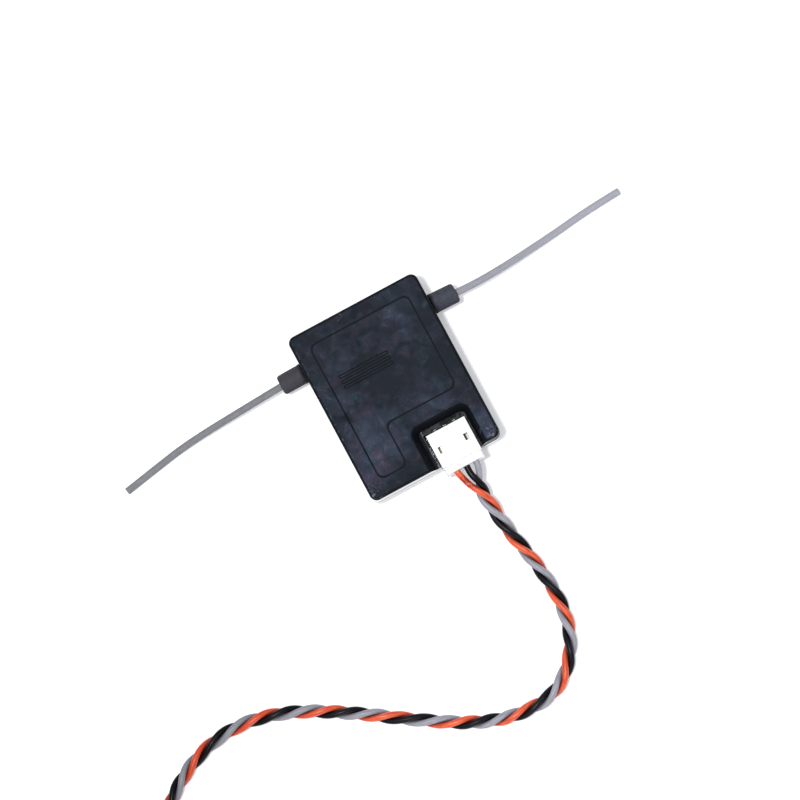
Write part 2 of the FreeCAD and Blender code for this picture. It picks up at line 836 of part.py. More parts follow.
def lead_parts():
    """The lead: wires fan out of the plug, join into the bundle and fan out again into the far plug."""
    route = [V(*point) for point in lead_route]
    start_heading = (route[1] - route[0]).normalize()
    end_heading = (route[-1] - route[-2]).normalize()
    far_turn = math.degrees(math.atan2(-end_heading.x, end_heading.y))
    far_rear = V(route[-1].x, route[-1].y, flange_height / 2) + end_heading * far_fan_length
    near_rear = V(header_offset, plug_rear, plug_axis)
    parts = {"lead_bundle": cord("lead_bundle", route, bundle_diameter)}
    parts["far_plug_housing"] = placed(plug_housing(), far_rear, far_turn)
    for i, colour in enumerate(wire_colours):
        x = (i - (wire_count - 1) / 2) * pitch
        contact = crimp_contact(x)
        parts["near_contact_" + colour] = placed(contact, near_rear, 0)
        parts["far_contact_" + colour] = placed(contact, far_rear, far_turn)
        near_socket = near_rear + V(x, crimp_depth, 0)
        parts["near_wire_" + colour] = fan_wire("near_wire_" + colour, i, near_socket, V(0, -1, 0),
                                                route[0], start_heading)
        turned = FreeCAD.Rotation(V(0, 0, 1), far_turn)
        far_socket = far_rear + turned.multVec(V(x, crimp_depth, 0))
        parts["far_wire_" + colour] = fan_wire("far_wire_" + colour, i, far_socket, end_heading * -1,
                                               route[-1], end_heading * -1)
    return parts


def antenna_parts():
    sleeve = antenna_sleeve()
    return {
        "antenna_sleeve_right": sleeve,
        "antenna_sleeve_left": mirrored(sleeve),
        "antenna_wire_right": antenna_wire("antenna_wire_right", right_antenna_route, 1),
        "antenna_wire_left": antenna_wire("antenna_wire_left", left_antenna_route, -1),
        "antenna_solder_right": antenna_solder(1),
        "antenna_solder_left": antenna_solder(-1),
    }


def build():
    parts = {
        "top_cover": top_cover(),
        "bottom_cover": bottom_cover(),
        "circuit_board": circuit_board(),
    }
    radio, radio_front_y = radio_parts()
    parts.update(radio)
    parts.update(logic_parts(radio_front_y))
    parts.update(connector_parts())
    parts.update(lead_parts())
    parts.update(antenna_parts())
    return parts


os.makedirs("parts", exist_ok=True)
for name, shape in build().items():
    shape.exportStep("parts/%s.step" % name)
    print(name, "valid" if shape.isValid() else "INVALID", "solids %d" % len(shape.Solids),
          "volume %.3f" % shape.Volume)
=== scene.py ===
import bpy
import bmesh
import math
from mathutils import Matrix, Vector


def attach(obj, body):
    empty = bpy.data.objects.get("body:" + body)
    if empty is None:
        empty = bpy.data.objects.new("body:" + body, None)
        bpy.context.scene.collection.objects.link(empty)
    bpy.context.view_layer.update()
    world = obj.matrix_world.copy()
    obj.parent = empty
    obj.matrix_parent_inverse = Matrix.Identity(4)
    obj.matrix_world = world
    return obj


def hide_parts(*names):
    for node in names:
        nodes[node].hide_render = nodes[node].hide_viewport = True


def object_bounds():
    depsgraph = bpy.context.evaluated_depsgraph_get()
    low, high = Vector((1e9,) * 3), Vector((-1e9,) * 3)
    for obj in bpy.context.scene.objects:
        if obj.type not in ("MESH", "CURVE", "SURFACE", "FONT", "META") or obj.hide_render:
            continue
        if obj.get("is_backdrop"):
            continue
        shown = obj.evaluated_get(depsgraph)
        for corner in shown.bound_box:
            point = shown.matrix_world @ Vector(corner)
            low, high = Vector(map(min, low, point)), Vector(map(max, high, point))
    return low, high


# Small remote receiver of a radio-control set. The settings below are in millimetres and degrees,
# and metres() turns a place into Blender's own unit.
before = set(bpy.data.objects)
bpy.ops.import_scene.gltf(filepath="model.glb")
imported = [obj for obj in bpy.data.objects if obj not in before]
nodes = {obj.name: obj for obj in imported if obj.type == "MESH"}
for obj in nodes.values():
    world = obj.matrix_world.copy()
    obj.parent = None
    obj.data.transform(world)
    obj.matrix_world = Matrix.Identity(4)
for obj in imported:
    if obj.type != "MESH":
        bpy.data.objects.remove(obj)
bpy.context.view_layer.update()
millimetre = 0.001


def metres(point):
    return Vector(point) * millimetre


def rgb(red, green, blue):
    # a colour as a picture editor shows it, 0 to 255, made linear for the shader
    linear = []
    for level in (red, green, blue):
        share = level / 255
        linear.append(share / 12.92 if share <= 0.04045 else ((share + 0.055) / 1.055) ** 2.4)
    return (*linear, 1.0)


# Camera, as the photograph was taken: almost straight down, turned about its own axis

cameraView = {
    "place": (-0.088, -81.775, 702.11),
    "tilt": 6.54,
    "roll": 28.295,
    "lens": 224.56,
    "sensor": 36.0,
    "nearest": 50.0,
    "farthest": 30000.0,
}


def makeCamera():
    bpy.ops.object.camera_add(location=metres(cameraView["place"]))
    camera = bpy.context.object
    tilt = Matrix.Rotation(math.radians(cameraView["tilt"]), 3, "X")
    roll = Matrix.Rotation(-math.radians(cameraView["roll"]), 3, "Z")
    camera.rotation_euler = (tilt @ roll).to_euler()
    camera.data.sensor_width = cameraView["sensor"]
    camera.data.lens = cameraView["lens"]
    camera.data.clip_start = cameraView["nearest"] * millimetre
    camera.data.clip_end = cameraView["farthest"] * millimetre
    bpy.context.scene.camera = camera


makeCamera()
print("camera ready")


# Lines that the cords follow

curveOrder = 3
curveSteps = 32
# the end of a cord is rounded by a ring at each of these angles
endAngles = (80, 50, 20)


def guideLine(points):
    curve = bpy.data.curves.new("guide", "CURVE")
    curve.dimensions = "3D"
    spline = curve.splines.new("NURBS")
    spline.points.add(len(points) - 1)
    for place, point in zip(spline.points, points):
        place.co = (*metres(point), 1)
    spline.order_u = curveOrder
    spline.use_endpoint_u = True
    spline.resolution_u = curveSteps
    guide = bpy.data.objects.new("guide", curve)
    mesh = bpy.data.meshes.new_from_object(guide)
    line = [vertex.co.copy() for vertex in mesh.vertices]
    bpy.data.meshes.remove(mesh)
    bpy.data.objects.remove(guide)
    bpy.data.curves.remove(curve)
    return line


def lineLength(line):
    return sum((b - a).length for a, b in zip(line, line[1:]))


def evenly(line, step):
    # the same line with points one step apart
    rounding = 1e-12
    count = max(2, round(lineLength(line) / step))
    gap = lineLength(line) / count
    points = [line[0].copy()]
    wanted = gap
    walked = 0.0
    for a, b in zip(line, line[1:]):
        run = (b - a).length
        while run > 0 and wanted <= walked + run + rounding and len(points) < count:
            points.append(a.lerp(b, (wanted - walked) / run))
            wanted += gap
        walked += run
    points.append(line[-1].copy())
    return points


def headings(line):
    out = []
    for i in range(len(line)):
        ahead = line[min(i + 1, len(line) - 1)]
        behind = line[max(i - 1, 0)]
        out.append((ahead - behind).normalized())
    return out


def smoothStep(low, high, value):
    share = min(max((value - low) / (high - low), 0.0), 1.0)
    return share * share * (3 - 2 * share)


def deselectAll():
    if bpy.context.object and bpy.context.object.mode != "OBJECT":
        bpy.ops.object.mode_set(mode="OBJECT")
    bpy.ops.object.select_all(action="DESELECT")


def roundedEnd(station, endRound, way):
    # rings that close in on a tube's end, outermost first, the way being -1 at its start and 1 at its end
    place, heading, sideways, radius, along = station
    rings = []
    for angle in endAngles:
        inset = endRound * (1 - math.cos(math.radians(angle)))
        reach = way * endRound * math.sin(math.radians(angle))
        rings.append((place + heading * reach, heading, sideways, radius - inset, along + reach))
    return rings


def tube(name, line, radius, sides, endRound):
    # a round tube along the line, its ends rounded, with a UV map that runs along and around it
    mesh = bpy.data.meshes.new(name)
    build = bmesh.new()
    layer = build.loops.layers.uv.new("UVMap")
    heads = headings(line)
    side = heads[0].orthogonal().normalized()
    stations = []
    walked = 0.0
    for i, place in enumerate(line):
        if i:
            walked += (place - line[i - 1]).length
        side = (side - heads[i] * side.dot(heads[i])).normalized()
        stations.append((place, heads[i], side.copy(), radius, walked))
    start = roundedEnd(stations[0], endRound, -1)
    end = roundedEnd(stations[-1], endRound, 1)
    stations = start + stations + end[::-1]
    rings = []
    distances = []
    for place, heading, sideways, size, along in stations:
        other = heading.cross(sideways)
        ring = []
        for k in range(sides):
            angle = 2 * math.pi * k / sides
            offset = sideways * math.cos(angle) + other * math.sin(angle)
            ring.append(build.verts.new(place + offset * size))
        rings.append(ring)
        distances.append(along / millimetre)
    for i in range(len(rings) - 1):
        for k in range(sides):
            m = (k + 1) % sides
            face = build.faces.new((rings[i][k], rings[i][m], rings[i + 1][m], rings[i + 1][k]))
            face.smooth = True
            marks = ((k, i), (k + 1, i), (k + 1, i + 1), (k, i + 1))
            for loop, (around, station) in zip(face.loops, marks):
                loop[layer].uv = (around / sides, distances[station])
    build.faces.new(rings[0][::-1])
    build.faces.new(rings[-1])
    build.to_mesh(mesh)
    build.free()
    piece = bpy.data.objects.new(name, mesh)
    bpy.context.collection.objects.link(piece)
    return piece


# Lead: three wires twisted together, along the line of the CAD's lead and on into both plugs

lead = {
    "points": [
        (3.735, -13.7, 4.25),
        (3.735, -15.4, 4.25),
        (3.95, -18.0, 3.4),
        (4.15, -20.5, 2.4),
        (4.6, -24.9, 1.3),
        (6.1, -31.9, 1.02),
        (6.45, -38.4, 1.02),
        (4.7, -43.9, 1.02),
        (0.3, -48.2, 1.02),
        (-5.9, -48.7, 1.02),
        (-12.2, -46.8, 1.02),
        (-19.6, -42.2, 1.02),
        (-26.6, -37.3, 1.02),
        (-33.9, -33.0, 1.02),
        (-41.3, -30.9, 1.02),
        (-48.7, -31.9, 1.02),
        (-55.3, -35.8, 1.02),
        (-60.5, -41.6, 1.02),
        (-62.3, -49.2, 1.02),
        (-59.5, -56.4, 1.02),
        (-52.9, -60.8, 1.02),
        (-45.1, -61.7, 1.02),
        (-37.1, -60.1, 1.02),
        (-33.0, -59.28, 1.6),
        (-31.2, -58.92, 1.65),
    ],
    "wire": 0.93,
    "endRound": 0.1,
    "step": 0.3,
    "sides": 24,
    # how far each wire's middle lies from the twist's, and where past the plug it draws tighter
    "helix": 0.54,
    "looseHelix": 0.6,
    "drawnTight": (4, 16),
    # the wires lie a pitch apart in the plug, and fan together past its face
    "pitch": 1.5,
    "inPlug": 0.82,
    "fan": (0.3, 4.6),
    # distance from the twist's middle within which the wires are painted darker as shade where they lie
    # against each other, and past which they are not
    "creviceShade": (0.5, 0.92),
    # how far past the plug the orange wire lies on top, turn after turn
    "orangeOnTop": (4.5, 14.6, 24.2, 33.3, 42.8, 51.4, 61.6, 70.6, 80.1, 90.4, 99.8, 109.3, 118.8,
                    128.3, 137.8, 147.3, 156.8),
    # share of a turn by which each wire follows the orange one, and its place across the plug
    "order": {"Orange": (0.0, 1), "Grey": (1 / 3, -1), "Black": (2 / 3, 0)},
}


def turnsAt(walked):
    marks = lead["orangeOnTop"]
    i = 0
    while i < len(marks) - 2 and walked > marks[i + 1]:
        i += 1
    return i + (walked - marks[i]) / (marks[i + 1] - marks[i])


def fanShare(walked):
    # 0 in the plug, 1 in the twist: the wire leaves the plug at a slant and joins the twist softly
    start, end = lead["fan"]
    share = min(max((walked - start) / (end - start), 0.0), 1.0)
    return (share * (2 - share) + smoothStep(start, end, walked)) / 2


def wireLine(line, lag, place):
    inside = lead["inPlug"]
    total = lineLength(line) / millimetre
    heads = headings(line)
    out = []
    walked = -inside
    for i, centre in enumerate(line):
        if i:
            walked += (centre - line[i - 1]).length / millimetre
        right = heads[i].cross(Vector((0, 0, 1))).normalized()
        above = right.cross(heads[i]).normalized()
        left = total - 2 * inside - walked
        angle = 2 * math.pi * (turnsAt(walked) - lag)
        loose = 1 - smoothStep(*lead["drawnTight"], walked)
        radius = lead["helix"] + (lead["looseHelix"] - lead["helix"]) * loose
        twist = (above * math.cos(angle) - right * math.sin(angle)) * radius
        near = right * lead["pitch"] * place
        far = right * lead["pitch"] * -place
        mixed = near.lerp(twist, fanShare(walked))
        mixed = far.lerp(mixed, fanShare(left))
        out.append(centre + mixed * millimetre)
    return out


def markCreviceShade(piece, line):
    # 1 where a wire lies against the others in the twist, 0 on the outside of it; the jackets take a painted
    # shade by it
    marks = piece.data.attributes.new("creviceShade", "FLOAT", "POINT")
    total = lineLength(line) / millimetre
    walked = 0.0
    shares = []
    for i, centre in enumerate(line):
        if i:
            walked += (centre - line[i - 1]).length / millimetre
        shares.append(min(fanShare(walked), fanShare(total - walked)))
    for i, vertex in enumerate(piece.data.vertices):
        station = min(max(i // lead["sides"] - len(endAngles), 0), len(line) - 1)
        away = (vertex.co - line[station]).length / millimetre
        deep = 1 - smoothStep(*lead["creviceShade"], away)
        marks.data[i].value = deep * shares[station]


leadLine = evenly(guideLine(lead["points"]), lead["step"] * millimetre)
wires = {}
for colour, (lag, place) in lead["order"].items():
    path = wireLine(leadLine, lag, place)
    piece = tube("wire" + colour, path, lead["wire"] / 2 * millimetre, lead["sides"],
                 lead["endRound"] * millimetre)
    markCreviceShade(piece, leadLine)
    wires[colour] = (piece, path)
    print(colour.lower(), "wire ready, mm:", round(lineLength(path) / millimetre, 1))


# Antennas: two stiff whips that lie down on the table past their sleeves

antennas = {
    "Right": [
        (7.7, 8.15, 3.4),
        (11.5, 8.13, 3.4),
        (18.5, 7.76, 3.3),
        (29.8, 8.98, 1.0),
        (35.8, 9.8, 0.52),
        (41.2, 10.1, 0.52),
    ],
    "Left": [
        (-7.7, 8.15, 3.4),
        (-11.5, 8.13, 3.4),
        (-18.3, 7.8, 3.3),
        (-29.1, 7.5, 1.0),
        (-34.9, 6.57, 0.52),
        (-40.2, 5.6, 0.52),
    ],
}
antennaWire = {
    "diameter": 1.04,
    "endRound": 0.08,
    "step": 0.4,
    "sides": 24,
}
whips = {}
for label, points in antennas.items():
    path = evenly(guideLine(points), antennaWire["step"] * millimetre)
    piece = tube("antenna" + label, path, antennaWire["diameter"] / 2 * millimetre, antennaWire["sides"],
                 antennaWire["endRound"] * millimetre)
    whips[label] = (piece, path)
print("antennas ready")


# Node groups that several materials share. A Size is a noise's scale to the metre: larger is finer.

def newGroup(name, inputs, outputs):
    group = bpy.data.node_groups.new(name, "ShaderNodeTree")
    for label, kind, value in inputs:
        socket = group.interface.new_socket(label, in_out="INPUT", socket_type="NodeSocket" + kind)
        if value is not None:
            socket.default_value = value
    for label, kind in outputs:
        group.interface.new_socket(label, in_out="OUTPUT", socket_type="NodeSocket" + kind)
    entry = group.nodes.new("NodeGroupInput")
    leave = group.nodes.new("NodeGroupOutput")
    return group, entry, leave


def addNode(tree, kind, values=None, **settings):
    node = tree.nodes.new("ShaderNode" + kind)
    for key, value in settings.items():
        setattr(node, key, value)
    for key, value in (values or {}).items():
        node.inputs[key].default_value = value
    return node


def link(tree, source, target):
    tree.links.new(source, target)


def noiseNode(tree, vector, scale, detail, roughness, distortion=0.0):
    node = addNode(tree, "TexNoise", {"Scale": scale, "Detail": detail, "Roughness": roughness,
                                      "Distortion": distortion})
    link(tree, vector, node.inputs["Vector"])
    return node.outputs["Fac"]


def rangeNode(tree, value, low, high, newLow=0.0, newHigh=1.0):
    node = addNode(tree, "MapRange", {"From Min": low, "From Max": high, "To Min": newLow, "To Max": newHigh})
    node.interpolation_type = "SMOOTHSTEP"
    link(tree, value, node.inputs["Value"])
    return node.outputs["Result"]


def mathNode(tree, operation, first, second=None):
    node = addNode(tree, "Math", operation=operation)
    for socket, value in zip(node.inputs, (first, second)):
        if value is None:
            continue
        if isinstance(value, (int, float)):
            socket.default_value = value
        else:
            link(tree, value, socket)
    return node.outputs["Value"]


def axes(tree, place):
    split = addNode(tree, "SeparateXYZ")
    link(tree, place, split.inputs["Vector"])
    return split.outputs["X"], split.outputs["Y"], split.outputs["Z"]


def mixColour(tree, share, first, second):
    node = addNode(tree, "Mix", data_type="RGBA")
    sockets = [s for s in node.inputs if s.enabled]
    for socket, value in zip(sockets, (share, first, second)):
        if isinstance(value, (int, float, tuple)):
            socket.default_value = value
        else:
            link(tree, value, socket)
    return [s for s in node.outputs if s.enabled][0]


def scaledPlace(group, entry):
    scaled = addNode(group, "VectorMath", operation="SCALE")
    link(group, entry.outputs["Vector"], scaled.inputs[0])
    link(group, entry.outputs["Size"], scaled.inputs["Scale"])
    return scaled.outputs["Vector"]


def makeBlotches():
    # three tones of one colour in soft clouds, as handled plastic shows them
    group, entry, leave = newGroup(
        "blotches",
        [("Vector", "Vector", None), ("Size", "Float", 300.0), ("First", "Color", (0.1, 0.1, 0.1, 1)),
         ("Second", "Color", (0.1, 0.1, 0.1, 1)), ("Third", "Color", (0.1, 0.1, 0.1, 1))],
        [("Color", "Color"), ("Clouds", "Float")])
    place = scaledPlace(group, entry)
    broad = noiseNode(group, place, 1.0, detail=3.0, roughness=0.5, distortion=0.3)
    broad = rangeNode(group, broad, 0.32, 0.68)
    finer = noiseNode(group, place, 2.6, detail=3.0, roughness=0.5, distortion=0.3)
    finer = rangeNode(group, finer, 0.34, 0.74)
    body = mixColour(group, broad, entry.outputs["First"], entry.outputs["Second"])
    body = mixColour(group, finer, body, entry.outputs["Third"])
    link(group, body, leave.inputs["Color"])
    link(group, mathNode(group, "MULTIPLY", broad, finer), leave.inputs["Clouds"])
    return group


def makeGrain():
    # the fine texture of a spark-eroded mould, as a height
    group, entry, leave = newGroup(
        "mould grain",
        [("Vector", "Vector", None), ("Size", "Float", 6000.0)],
        [("Height", "Float")])
    place = scaledPlace(group, entry)
    cells = addNode(group, "TexVoronoi", {"Scale": 1.0, "Randomness": 1.0}, feature="SMOOTH_F1")
    link(group, place, cells.inputs["Vector"])
    soft = noiseNode(group, place, 0.6, detail=3.0, roughness=0.6)
    link(group, mathNode(group, "ADD", cells.outputs["Distance"], soft), leave.inputs["Height"])
    return group


def makeLevel():
    # a mask that is 1 where the surface lies level and falls away on slopes and walls
    group, entry, leave = newGroup(
        "lies level", [("Low", "Float", 0.8), ("High", "Float", 0.98)], [("Mask", "Float")])
    upward = axes(group, addNode(group, "NewGeometry").outputs["Normal"])[2]
    fade = addNode(group, "MapRange", interpolation_type="SMOOTHSTEP")
    link(group, mathNode(group, "ABSOLUTE", upward), fade.inputs["Value"])
    link(group, entry.outputs["Low"], fade.inputs["From Min"])
    link(group, entry.outputs["High"], fade.inputs["From Max"])
    link(group, fade.outputs["Result"], leave.inputs["Mask"])
    return group


def makeScuffs():
    # specks and short rubs: what of a noise lies above an edge, which Amount brings down
    edge, drop, hardness = 0.78, 0.3, 9.0
    group, entry, leave = newGroup(
        "scuffs",
        [("Vector", "Vector", None), ("Size", "Float", 900.0), ("Amount", "Float", 0.5)],
        [("Mask", "Float")])
    rubs = noiseNode(group, scaledPlace(group, entry), 1.0, detail=8.0, roughness=0.72, distortion=1.5)
    lowered = mathNode(group, "SUBTRACT", edge, mathNode(group, "MULTIPLY", entry.outputs["Amount"], drop))
    hard = mathNode(group, "MULTIPLY", mathNode(group, "SUBTRACT", rubs, lowered), hardness)
    clamp = addNode(group, "Clamp")
    link(group, hard, clamp.inputs["Value"])
    link(group, clamp.outputs["Result"], leave.inputs["Mask"])
    return group


blotches = makeBlotches()
grain = makeGrain()
level = makeLevel()
scuffs = makeScuffs()


def useGroup(tree, group, values=None):
    node = tree.nodes.new("ShaderNodeGroup")
    node.node_tree = group
    for key, value in (values or {}).items():
        if isinstance(value, (int, float, tuple)):
            node.inputs[key].default_value = value
        else:
            link(tree, value, node.inputs[key])
    return node


def newMaterial(name, **values):
    material = bpy.data.materials.new(name)
    material.use_nodes = True
    shader = material.node_tree.nodes["Principled BSDF"]
    for key, value in values.items():
        shader.inputs[key.replace("_", " ")].default_value = value
    return material, material.node_tree, shader


def objectPlace(tree):
    return addNode(tree, "TexCoord").outputs["Object"]


def threeTones(tree, place, size, tones):
    first, second, third = tones
    node = useGroup(tree, blotches, {"Vector": place, "Size": size, "First": first, "Second": second,
                                     "Third": third})
    return node.outputs["Color"], node.outputs["Clouds"]


def levelMask(tree, low, high):
    return useGroup(tree, level, {"Low": low, "High": high}).outputs["Mask"]


def scuffMask(tree, place, size, amount):
    return useGroup(tree, scuffs, {"Vector": place, "Size": size, "Amount": amount}).outputs["Mask"]


def setRoughness(tree, shader, clouds, span):
    link(tree, rangeNode(tree, clouds, 0.0, 1.0, *span), shader.inputs["Roughness"])


def addGrain(tree, shader, place, size, strength, depth):
    # the mould's texture as a bump, its depth in mm
    texture = useGroup(tree, grain, {"Vector": place, "Size": size})
    bump = addNode(tree, "Bump", {"Strength": strength, "Distance": depth * millimetre})
    link(tree, texture.outputs["Height"], bump.inputs["Height"])
    link(tree, bump.outputs["Normal"], shader.inputs["Normal"])


# Case plastic: near-black mouldings with polished walls; a pale film on their level faces is partly handling
# and partly painted reflection of the light above, and the grooves and rim keep the near-black as painted
# shade

casePlastic = {
    # the plastic's own near-black, which in the grooves, on the rim and in the slit by the header also stands
    # as painted shade
    "under": rgb(6, 8, 14),
    "dark": rgb(36, 41, 55),
    "violet": rgb(46, 41, 56),
    "green": rgb(33, 45, 56),
    "pale": rgb(88, 91, 106),
    "scuff": rgb(132, 138, 152),
    "sheen": (0.76, 0.88, 1.0, 1.0),
    "specular": 0.18,
    "coatRoughness": 0.08,
    "roughness": (0.6, 0.74),
    # size of the mould's texture, its strength and its depth in mm
    "grain": (6000.0, 0.12, 0.02),
    "hueSize": 210.0,
    # how pale the film is, by clouds and patches, and the least that is left of it
    "cloudSize": 240.0,
    "cloudGain": (0.59, 0.85),
    "patchSize": 620.0,
    "patchGain": (-0.18, 0.21),
    "leastGain": 0.4,
    "veinSize": 620.0,
    "mostVein": 0.26,
    "speckleSize": 3000.0,
    "speckleGain": (0.86, 1.14),
    # heights in mm: the film thins out from the deck's flat to the foot of its rounding and grooves, which
    # keep the near-black as painted shade
    "deck": 6.9,
    "deckHigh": 6.893,
    "deckLow": 6.85,
    "insideHigh": 6.3,
    "insideFade": 0.1,
    # how level a face is, from none to all of the film, and from upright to sloped
    "flat": (0.75, 0.98),
    "sloped": (0.05, 0.22),
    # the ledge at the notch's foot, and the pale line painted on it along the slit left of the header
    # as a highlight on its edge, which ends softly between the two shares of its width
    "ledge": rgb(62, 62, 64),
    "ledgeHighlight": rgb(112, 116, 121),
    "ledgePatch": 900.0,
    "slit": 0.3,
    "highlightLine": 0.15,
    "highlightEnd": (1.2, 0.8),
    # the moulded sides are polished up to here, the lines sunk in the deck are not
    "polishHigh": 6.45,
    "polishFade": 0.1,
    "seam": (3.4, 0.5),
    # the end of the front wall, above the seam, that handling left dull, and how far that reaches
    "dullEnd": ((9.4, -13.0, 3.5), 2.4, 4.2),
    "dullShare": 0.9,
    # places in mm on the deck made paler (gain above 0) or darker, with their reach
    "smudges": (
        (-7.4, -7.6, 4.8, 1.0),
        (-6.8, -3.8, 3.6, 1.0),
        (-3.8, -6.6, 3.4, 0.6),
        (-9.7, -10.2, 2.2, 0.6),
        (8.5, -10.8, 2.8, 1.3),
        (3.6, -4.0, 3.0, 0.65),
        (5.2, -1.6, 2.2, 0.3),
        (4.7, 9.0, 2.0, 1.15),
        (5.4, 6.4, 2.2, 0.55),
        (-4.6, 7.0, 2.4, 0.35),
        (-6.6, 5.6, 2.6, 0.35),
        (-7.6, 1.6, 3.0, 0.55),
        (-4.6, -1.8, 2.6, 0.4),
        (-4.3, -11.6, 3.4, -0.7),
        (-7.2, -9.2, 2.4, 0.4),
        (-2.8, -3.2, 2.0, 0.5),
        (-3.0, -7.8, 2.4, 0.35),
        (5.8, -4.6, 1.8, 0.35),
        (-8.3, -0.4, 1.9, -0.75),
        (-1.4, 2.8, 3.8, -0.2),
        (-2.9, 0.1, 2.6, -0.4),
        (-0.8, -4.8, 1.8, -0.3),
        (6.2, 3.0, 3.0, -0.3),
        (-0.6, 9.4, 2.6, -0.25),
        (-5.0, 9.6, 2.2, -0.2),
        (-8.6, 12.6, 3.2, -0.4),
        (-0.6, 1.0, 4.8, -0.3),
        (-2.6, 4.4, 3.4, -0.3),
        (9.2, -0.4, 4.2, -0.5),
        (-2.6, 12.6, 5.4, -0.3),
        (2.2, 11.4, 4.0, -0.25),
        (7.6, -4.4, 2.6, -0.3),
        (10.2, 9.3, 1.3, -1.1),
        (10.2, 7.5, 1.3, -1.1),
        (8.6, 2.8, 2.4, -0.2),
        (-1.6, 3.8, 2.6, -0.5),
        (1.4, 3.4, 2.4, -0.4),
        (-3.3, -9.2, 2.2, 0.6),
        (-3.1, -4.0, 1.8, 0.4),
        (1.7, -4.6, 1.7, 0.45),
        (5.9, -4.5, 1.8, 0.45),
        (8.8, -9.2, 1.8, 0.3),
        (8.0, 9.0, 2.4, 0.2),
    ),
    "warpSize": 420.0,
    "smudgeWarp": 2.2,
    # rubbed spots on the deck and how far each reaches, and a pale line along its left edge that is a painted
    # highlight where light falls on the rim
    "rubSize": 1300.0,
    "rubAmount": 0.8,
    "wornSpots": ((-9.2, -12.1, 2.2), (9.1, -11.9, 2.2), (-2.3, 12.4, 0.8)),
    "wornCore": 0.2,
    "edgeHighlight": (-9.78, 0.16),
    "edgeHighlightShare": 0.6,
}


def heightShares(tree, height):
    # first 1 on the deck's flat and 0 in its grooves and on its rounded rim, where painted shade stays, then
    # 1 on what lies deeper
    flat = rangeNode(tree, height, casePlastic["deckLow"] * millimetre, casePlastic["deckHigh"] * millimetre)
    top = casePlastic["insideHigh"]
    deep = rangeNode(tree, height, top * millimetre, (top - casePlastic["insideFade"]) * millimetre)
    return flat, deep


def nearTo(tree, place, spot, low, high):
    away = addNode(tree, "VectorMath", {1: metres(spot)}, operation="DISTANCE")
    link(tree, place, away.inputs[0])
    return rangeNode(tree, away.outputs["Value"], high * millimetre, low * millimetre)


def warpedPlace(tree, place, size, reach):
    # the place, pushed about by soft noise, so that round marks lose their round outline
    noise = addNode(tree, "TexNoise", {"Scale": size, "Detail": 3.0, "Roughness": 0.55})
    link(tree, place, noise.inputs["Vector"])
    centred = addNode(tree, "VectorMath", {1: (0.5, 0.5, 0.5)}, operation="SUBTRACT")
    link(tree, noise.outputs["Color"], centred.inputs[0])
    push = addNode(tree, "VectorMath", {"Scale": 2 * reach * millimetre}, operation="SCALE")
    link(tree, centred.outputs["Vector"], push.inputs[0])
    moved = addNode(tree, "VectorMath", operation="ADD")
    link(tree, place, moved.inputs[0])
    link(tree, push.outputs["Vector"], moved.inputs[1])
    return moved.outputs["Vector"]


def smudgeGain(tree, place):
    loose = warpedPlace(tree, place, casePlastic["warpSize"], casePlastic["smudgeWarp"])
    gain = noiseNode(tree, place, casePlastic["cloudSize"], detail=6.0, roughness=0.66, distortion=0.5)
    gain = rangeNode(tree, gain, 0.32, 0.68, *casePlastic["cloudGain"])
    patch = noiseNode(tree, place, casePlastic["patchSize"], detail=2.0, roughness=0.5, distortion=0.6)
    patch = rangeNode(tree, patch, 0.36, 0.64, *casePlastic["patchGain"])
    gain = mathNode(tree, "ADD", gain, patch)
    for x, y, reach, change in casePlastic["smudges"]:
        mark = nearTo(tree, loose, (x, y, casePlastic["deck"]), 0.0, reach)
        gain = mathNode(tree, "ADD", gain, mathNode(tree, "MULTIPLY", mark, change))
    return mathNode(tree, "MAXIMUM", gain, casePlastic["leastGain"])


def makeFilmAndLitTop(tree, place):
    filmAndLitTop, clouds = threeTones(tree, place, casePlastic["hueSize"],
                              (casePlastic["dark"], casePlastic["violet"], casePlastic["green"]))
    veins = noiseNode(tree, place, casePlastic["veinSize"], detail=6.0, roughness=0.66, distortion=1.4)
    veins = rangeNode(tree, veins, 0.52, 0.74, 0.0, casePlastic["mostVein"])
    filmAndLitTop = mixColour(tree, veins, filmAndLitTop, casePlastic["pale"])
    speckle = noiseNode(tree, place, casePlastic["speckleSize"], detail=3.0, roughness=0.7)
    speckle = rangeNode(tree, speckle, 0.3, 0.7, *casePlastic["speckleGain"])
    gain = mathNode(tree, "MULTIPLY", smudgeGain(tree, place), speckle)
    scaled = addNode(tree, "VectorMath", operation="SCALE")
    link(tree, filmAndLitTop, scaled.inputs[0])
    link(tree, gain, scaled.inputs["Scale"])
    return scaled.outputs["Vector"], clouds


def ledgeTone(tree, place, across):
    # blotchy behind the header; left of it painted black as shade in the slit, but for a pale line painted
    # there as a highlight
    headerLeft = min(corner[0] for corner in nodes["header_shroud"].bound_box)
    edge = headerLeft - casePlastic["slit"] * millimetre
    width = casePlastic["highlightLine"] * millimetre
    patches = noiseNode(tree, place, casePlastic["ledgePatch"], detail=3.0, roughness=0.6)
    patches = rangeNode(tree, patches, 0.42, 0.56)
    blotchy = mixColour(tree, patches, casePlastic["under"], casePlastic["ledge"])
    highlighted = mixColour(tree, patches, casePlastic["ledge"], casePlastic["ledgeHighlight"])
    tone = mixColour(tree, rangeNode(tree, across, edge, edge + width), highlighted, blotchy)
    far, near = casePlastic["highlightEnd"]
    inner = rangeNode(tree, across, edge - far * width, edge - near * width)
    return mixColour(tree, inner, casePlastic["under"], tone)


